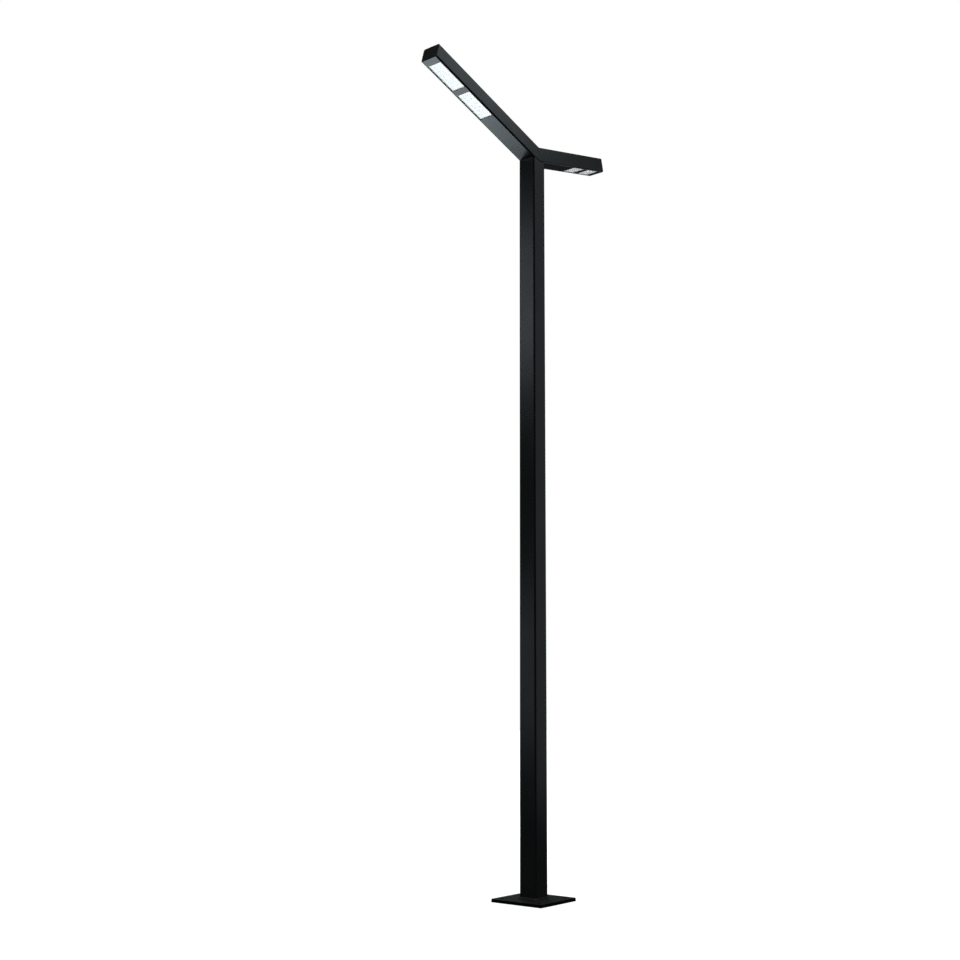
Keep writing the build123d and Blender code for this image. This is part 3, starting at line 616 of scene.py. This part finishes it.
class LAMP_OT_build_windows(bpy.types.Operator):
    """Builds each light window: a ground cover glass, and a tray with a painted glow and two rows of
    lenses
    """

    bl_idname = "lamp.build_windows"
    bl_label = "Build the light windows"

    def execute(self, context):
        finish = context.scene.lamp_finish
        detail = context.scene.lamp_detail
        glass = clear_glass()
        tray_materials = (white_tray_painted_glow(finish), lens_acrylic_painted_glow(finish))
        for arm in ARMS:
            for place in PLACES:
                self.build_glass(arm, place, glass, detail)
                self.build_tray(arm, place, tray_materials, detail)
        return {"FINISHED"}

    def build_glass(self, arm, place, glass, detail):
        node = f"cover_glass_{arm}_{place}"
        matrix, length, width, height = slab_on_arm(node, arm)
        edge = detail.glass_edge
        shape = bmesh.new()
        add_rings(shape, [
            [
                point + Vector((0, 0, level))
                for point in rounded_outline(length - 2 * inset, width - 2 * inset, detail.glass_corner)
            ]
            for level, inset in ((0, edge), (edge, 0), (height - edge, 0), (height, edge))
        ])
        make_piece(f"window_pane_{arm}_{place}", shape, [glass], node, matrix)

    def build_tray(self, arm, place, materials, detail):
        node = f"lens_plate_{arm}_{place}"
        matrix, length, width, height = slab_on_arm(node, arm)
        chips = [sum(points, Vector()) / len(points) for points in islands(f"led_chips_{arm}_{place}")]
        to_tray = matrix.inverted()
        rim = detail.tray_rim
        chamfer = detail.tray_chamfer
        inner_chamfer = 0.5 * MM
        draft = 0.4 * MM
        lip = height * TRAY_LIP
        floor = height * TRAY_FLOOR
        # Height and inset of each ring, from the tray's back round its rim to the floor inside.
        levels = (
            (height * TRAY_BACK, 0.0), (lip + chamfer, 0.0), (lip, chamfer),
            (lip, rim - inner_chamfer), (lip + chamfer, rim), (floor, rim + draft),
        )
        shape = bmesh.new()
        add_rings(shape, [
            [
                point + Vector((0, 0, level))
                for point in rounded_outline(length - 2 * inset, width - 2 * inset, detail.tray_corner)
            ]
            for level, inset in levels
        ])
        for chip in chips:
            place_on_tray = to_tray @ chip
            self.add_lens(shape, Vector((place_on_tray.x, place_on_tray.y, floor)), floor, detail)
        make_piece(f"lens_tray_{arm}_{place}", shape, materials, node, matrix)

    def add_lens(self, shape, centre, depth, detail):
        """A raised collar and, inside it, a dome with a dimple over the chip."""
        radius = detail.lens_radius
        steps = detail.lens_steps
        add_rings(shape, [
            circle_ring(centre, radius * share, depth * level, steps) for share, level in LENS_COLLAR
        ])
        dome = []
        for ring in range(DOME_RINGS):
            angle = ring / DOME_RINGS * pi / 2
            share = cos(angle)
            dimple = DIMPLE_DEPTH * max(0.0, 1 - share / DIMPLE_WIDTH) ** 2
            drop = DOME_START + DOME_DROP * sin(angle) - dimple
            dome.append(circle_ring(centre, radius * DOME_WIDTH * share, -depth * drop, steps))
        add_rings(shape, dome, material=1)


class LAMP_OT_build_foot_weld(bpy.types.Operator):
    """Builds the rippled weld bead between the post and the base plate"""

    bl_idname = "lamp.build_foot_weld"
    bl_label = "Build the foot weld"

    def execute(self, context):
        detail = context.scene.lamp_detail
        finish = context.scene.lamp_finish
        low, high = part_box("base_weld")
        leg = high.z - low.z
        post_width = high.x - low.x - 2 * leg
        radius = detail.post_corner
        straight = post_width - 2 * radius
        perimeter = 4 * straight + 2 * pi * radius
        steps = int(perimeter / detail.ripple_pitch * STEPS_PER_RIPPLE)
        shape = bmesh.new()
        sections = [
            self.section(step / steps * perimeter, straight, radius, leg, low.z, detail)
            for step in range(steps)
        ]
        rows = [[shape.verts.new(point) for point in section] for section in sections]
        for index, row in enumerate(rows):
            after = rows[(index + 1) % steps]
            for spot in range(len(row)):
                beside = (spot + 1) % len(row)
                shape.faces.new((row[spot], row[beside], after[beside], after[spot]))
        paint = powder_coat(
            "weld_powder_coat", finish.foot_paint, finish, finish.foot_roughness, shine=0.12, dirt=0.2,
        )
        make_piece("foot_weld_bead", shape, [paint], "base_weld", sharp=60.0)
        return {"FINISHED"}

    def section(self, distance, straight, radius, leg, floor, detail):
        """Points of the bead's section at a distance round the post."""
        foot, outward = self.round_the_post(distance, straight, radius)
        corner = Vector((foot.x, foot.y, floor))
        points = [corner]
        flatness = 1 - BEAD_ROUNDNESS
        for spot in range(BEAD_SPOTS):
            share = spot / (BEAD_SPOTS - 1)
            lag = CHEVRON * (share - 0.5) ** 2
            ripple = abs(sin(pi * (distance / detail.ripple_pitch + lag)))
            swell = 1 - detail.ripple_depth * (1 - ripple) * sin(pi * share)
            size = leg * BEAD_FILL * swell
            reach = size * (flatness * share + BEAD_ROUNDNESS * sin(share * pi / 2))
            rise = size * (flatness * (1 - share) + BEAD_ROUNDNESS * cos(share * pi / 2))
            points.append(corner + outward * reach + Vector((0, 0, rise)))
        return points

    def round_the_post(self, distance, straight, radius):
        """Point on the post's outline at that distance round it, and the way out from there."""
        bend = radius * pi / 2
        quarter, along = divmod(distance, straight + bend)
        turn = Matrix.Rotation(quarter * pi / 2, 3, "Z")
        half = straight / 2
        if along < straight:
            point = Vector((half + radius, along - half, 0))
            outward = Vector((1, 0, 0))
        else:
            angle = (along - straight) / radius
            outward = Vector((cos(angle), sin(angle), 0))
            point = Vector((half, half, 0)) + outward * radius
        return turn @ point, turn @ outward


class LAMP_OT_build_cap_screws(bpy.types.Operator):
    """Builds the countersunk socket screws that hold the end caps"""

    bl_idname = "lamp.build_cap_screws"
    bl_label = "Build the cap screws"

    def execute(self, context):
        detail = context.scene.lamp_detail
        steel = bare_metal("stainless_screw_steel", (0.42, 0.43, 0.44), 0.3)
        shape = bmesh.new()
        for points in islands("end_cap_screws"):
            middle = sum(points, Vector()) / len(points)
            out, across, up = arm_axes("long" if middle.x < 0 else "short")
            turned = Matrix((out, across, up)).transposed().to_4x4()
            local = [turned.inverted() @ point for point in points]
            top = max(point.z for point in local)
            bottom = min(point.z for point in local)
            head = max(point.x for point in local) - min(point.x for point in local)
            centre = Vector((
                sum(point.x for point in local) / len(local),
                sum(point.y for point in local) / len(local),
                0,
            ))
            before = set(shape.verts)
            self.add_screw(shape, centre, head / 2, top, bottom, detail.socket)
            fresh = [vertex for vertex in shape.verts if vertex not in before]
            bmesh.ops.transform(shape, matrix=turned, verts=fresh)
        make_piece("cap_socket_screws", shape, [steel], "end_cap_screws")
        return {"FINISHED"}

    def add_screw(self, shape, centre, head, top, bottom, socket):
        """Shank, cone, slightly domed head and a hexagon socket, in rings. head is its radius."""
        shank = head / 2
        tip = shank * 0.2
        socket_depth = head * 0.4
        socket_size = head * socket
        # Radius and height of each ring, from the tip of the shank to the top of the head.
        profile = (
            (shank - tip, bottom), (shank, bottom + tip), (shank, top - head / 2),
            (head * 0.97, top - 0.3 * MM), (head * 0.94, top - 0.1 * MM),
        )
        rings = [circle_ring(centre, radius, level, SCREW_STEPS) for radius, level in profile]
        for level in (top, top - socket_depth):
            rings.append([
                centre + Vector((0, 0, level)) + self.on_hexagon(2 * pi * step / SCREW_STEPS) * socket_size
                for step in range(SCREW_STEPS)
            ])
        add_rings(shape, rings)

    def on_hexagon(self, angle):
        """Point on a hexagon whose flats are one unit from its middle."""
        from_flat = (angle + pi / 6) % (pi / 3) - pi / 6
        return Vector((cos(angle), sin(angle), 0)) / cos(from_flat)


class LAMP_OT_finish_lights(bpy.types.Operator):
    """Finishes the gaskets, boards, chips, heat sinks, drivers and their screws"""

    bl_idname = "lamp.finish_lights"
    bl_label = "Finish the light modules"

    def execute(self, context):
        dress(named("window_gasket"), soft_rubber("white_silicone", (0.82, 0.82, 0.8)))
        dress(named("led_chips"), led_phosphor())
        dress(named("led_board"), circuit_board())
        drawn = (20.0, 1.0, 1.0)
        dress(named("heat_sink"), bare_metal("extruded_aluminium", (0.6, 0.61, 0.63), 0.4, drawn))
        dress(named("led_driver_"), bare_metal("driver_case_aluminium", (0.66, 0.67, 0.69), 0.34))
        screws = named("module_screws", "driver_screws")
        dress(screws, bare_metal("module_screw_steel", (0.5, 0.5, 0.5), 0.3))
        return {"FINISHED"}


class LAMP_OT_finish_door(bpy.types.Operator):
    """Finishes the door's frame, gasket, pins and lock, and the gear behind it"""

    bl_idname = "lamp.finish_door"
    bl_label = "Finish the door and the gear"

    def execute(self, context):
        edge = context.scene.lamp_detail.edge
        dress(named("driver_bracket", "gear_tray", "door_frame"), zinc_sheet("galvanised_sheet"))
        dress(["door_gasket"], soft_rubber("black_sponge_rubber", (0.02, 0.02, 0.021)))
        dress(["lock_barrel", "lock_rotor"], bare_metal("satin_nickel", (0.55, 0.54, 0.51), 0.28))
        dress(["lock_cam"], bare_metal("zinc_plated_cam", (0.5, 0.5, 0.49), 0.36))
        dress(["hinge_pins", "tray_studs", "tray_nuts"], bare_metal("pin_steel", (0.45, 0.45, 0.46), 0.3))
        dress(["earth_terminal"], bare_metal("earth_brass", (0.72, 0.53, 0.22), 0.32))
        dress(["fuse_box"], moulded_plastic("grey_housing", (0.42, 0.43, 0.43), 0.5))
        dress(["fuse_box_cover"], moulded_plastic("light_grey_cover", (0.62, 0.64, 0.64), 0.28))
        dress(["cable_gland"], moulded_plastic("gland_nylon", (0.3, 0.31, 0.31), 0.45))
        black = moulded_plastic("black_housing", (0.03, 0.03, 0.033), 0.45)
        dress(["fuse_carrier", "surge_protector"], black)
        soften_edges(["lock_barrel", "surge_protector", "fuse_box_cover", "cable_gland"], edge)
        return {"FINISHED"}


class LAMP_OT_build_stage(bpy.types.Operator):
    """Builds the pale floor, the soft studio lights and the camera"""

    bl_idname = "lamp.build_stage"
    bl_label = "Build the stage"

    def execute(self, context):
        stage = context.scene.lamp_stage
        self.add_floor(stage)
        self.add_room(context.scene, stage)
        self.add_lights(stage)
        self.add_camera(context.scene, stage)
        context.scene.view_settings.view_transform = "Standard"
        return {"FINISHED"}

    def add_floor(self, stage):
        """A flat disc of pale paper under the base plate."""
        shape = bmesh.new()
        add_rings(shape, [
            circle_ring(Vector(), stage.floor_radius * share, 0.0, FLOOR_STEPS)
            for share in (1.0, 0.5, 0.2, 0.05)
        ], closed=False)
        shape.faces.new(list(shape.verts)[-FLOOR_STEPS:])
        bmesh.ops.recalc_face_normals(shape, faces=shape.faces)
        mesh = bpy.data.meshes.new("studio_floor")
        shape.to_mesh(mesh)
        shape.free()
        paper = Finish("studio_paper", (0.9, 0.9, 0.9), 0.9)
        paper.set("Specular IOR Level", 0.1)
        paper.colour_by(paper.mixed(paper.noise(400 * MM, 3.0), (0.88, 0.88, 0.88), (0.92, 0.92, 0.92)))
        mesh.materials.append(paper.material)
        floor = bpy.data.objects.new("studio_floor", mesh)
        # The floor lights nothing and is not seen through the glass, so the paint near it stays dark.
        floor.visible_diffuse = False
        floor.visible_glossy = False
        floor.visible_transmission = False
        bpy.context.scene.collection.objects.link(floor)

    def add_room(self, scene, stage):
        """A white backdrop to look at, and a dimmer room to light and reflect."""
        world = bpy.data.worlds.new("studio_room")
        world.use_nodes = True
        tree = world.node_tree
        backdrop = tree.nodes["Background"]
        backdrop.inputs["Color"].default_value = WHITE
        backdrop.inputs["Strength"].default_value = 1.0
        room = tree.nodes.new("ShaderNodeBackground")
        room.inputs["Color"].default_value = WHITE
        room.inputs["Strength"].default_value = stage.sky
        path = tree.nodes.new("ShaderNodeLightPath")
        chooser = tree.nodes.new("ShaderNodeMixShader")
        tree.links.new(path.outputs["Is Camera Ray"], chooser.inputs["Fac"])
        tree.links.new(room.outputs["Background"], chooser.inputs[1])
        tree.links.new(backdrop.outputs["Background"], chooser.inputs[2])
        tree.links.new(chooser.outputs["Shader"], tree.nodes["World Output"].inputs["Surface"])
        scene.world = world

    def add_lights(self, stage):
        """A wide overhead light, and softboxes that the camera does not see."""
        sun = bpy.data.lights.new("overhead_scrim", "SUN")
        sun.energy = stage.sun
        sun.angle = radians(50)
        overhead = bpy.data.objects.new("overhead_scrim", sun)
        bpy.context.scene.collection.objects.link(overhead)
        for name, middle, faced, width, tall, radiance in SOFTBOXES:
            light = bpy.data.lights.new(name, "AREA")
            light.shape = "RECTANGLE"
            light.size = width
            light.size_y = tall
            light.energy = radiance * pi * width * tall
            light.color = stage.tint
            softbox = bpy.data.objects.new(name, light)
            softbox.location = middle
            aim = Vector(faced) - Vector(middle)
            softbox.rotation_euler = aim.to_track_quat("-Z", "Y").to_euler()
            softbox.visible_camera = False
            bpy.context.scene.collection.objects.link(softbox)

    def add_camera(self, scene, stage):
        """The camera, aimed by its heading, pitch and roll."""
        data = bpy.data.cameras.new("lamp_camera")
        data.lens = stage.lens
        data.clip_end = 200.0
        camera = bpy.data.objects.new("lamp_camera", data)
        azimuth = stage.camera_azimuth
        camera.location = (
            stage.camera_distance * cos(azimuth),
            stage.camera_distance * sin(azimuth),
            stage.camera_height,
        )
        heading = azimuth + pi + stage.camera_turn
        level = cos(stage.camera_pitch)
        look = Vector((level * cos(heading), level * sin(heading), sin(stage.camera_pitch)))
        turn = look.to_track_quat("-Z", "Y").to_matrix()
        camera.rotation_euler = (turn @ Matrix.Rotation(stage.camera_roll, 3, "Z")).to_euler()
        bpy.context.scene.collection.objects.link(camera)
        scene.camera = camera


class LAMP_PT_sidebar(bpy.types.Panel):
    """Lists the steps that finish the lamp"""

    bl_idname = "LAMP_PT_sidebar"
    bl_label = "Street lamp"
    bl_space_type = "VIEW_3D"
    bl_region_type = "UI"
    bl_category = "Street lamp"

    def draw(self, context):
        layout = self.layout
        for settings in ("lamp_finish", "lamp_detail", "lamp_stage"):
            group = getattr(context.scene, settings)
            box = layout.box()
            for name in group.__annotations__:
                box.prop(group, name)
        for step in STEPS:
            layout.operator(step.bl_idname)


STEPS = (
    LAMP_OT_paint_steel,
    LAMP_OT_build_windows,
    LAMP_OT_build_foot_weld,
    LAMP_OT_build_cap_screws,
    LAMP_OT_finish_lights,
    LAMP_OT_finish_door,
    LAMP_OT_build_stage,
)
SETTINGS = {
    "lamp_finish": LampFinishSettings,
    "lamp_detail": LampDetailSettings,
    "lamp_stage": LampStageSettings,
}
CLASSES = (*SETTINGS.values(), *STEPS, LAMP_PT_sidebar)


def register():
    for cls in CLASSES:
        bpy.utils.register_class(cls)
    for name, group in SETTINGS.items():
        setattr(bpy.types.Scene, name, PointerProperty(type=group))


def unregister():
    for name in SETTINGS:
        delattr(bpy.types.Scene, name)
    for cls in reversed(CLASSES):
        bpy.utils.unregister_class(cls)


def main():
    register()
    bpy.ops.lamp.paint_steel()
    bpy.ops.lamp.build_windows()
    bpy.ops.lamp.build_foot_weld()
    bpy.ops.lamp.build_cap_screws()
    bpy.ops.lamp.finish_lights()
    bpy.ops.lamp.finish_door()
    bpy.ops.lamp.build_stage()


if __name__ == "__main__":
    main()
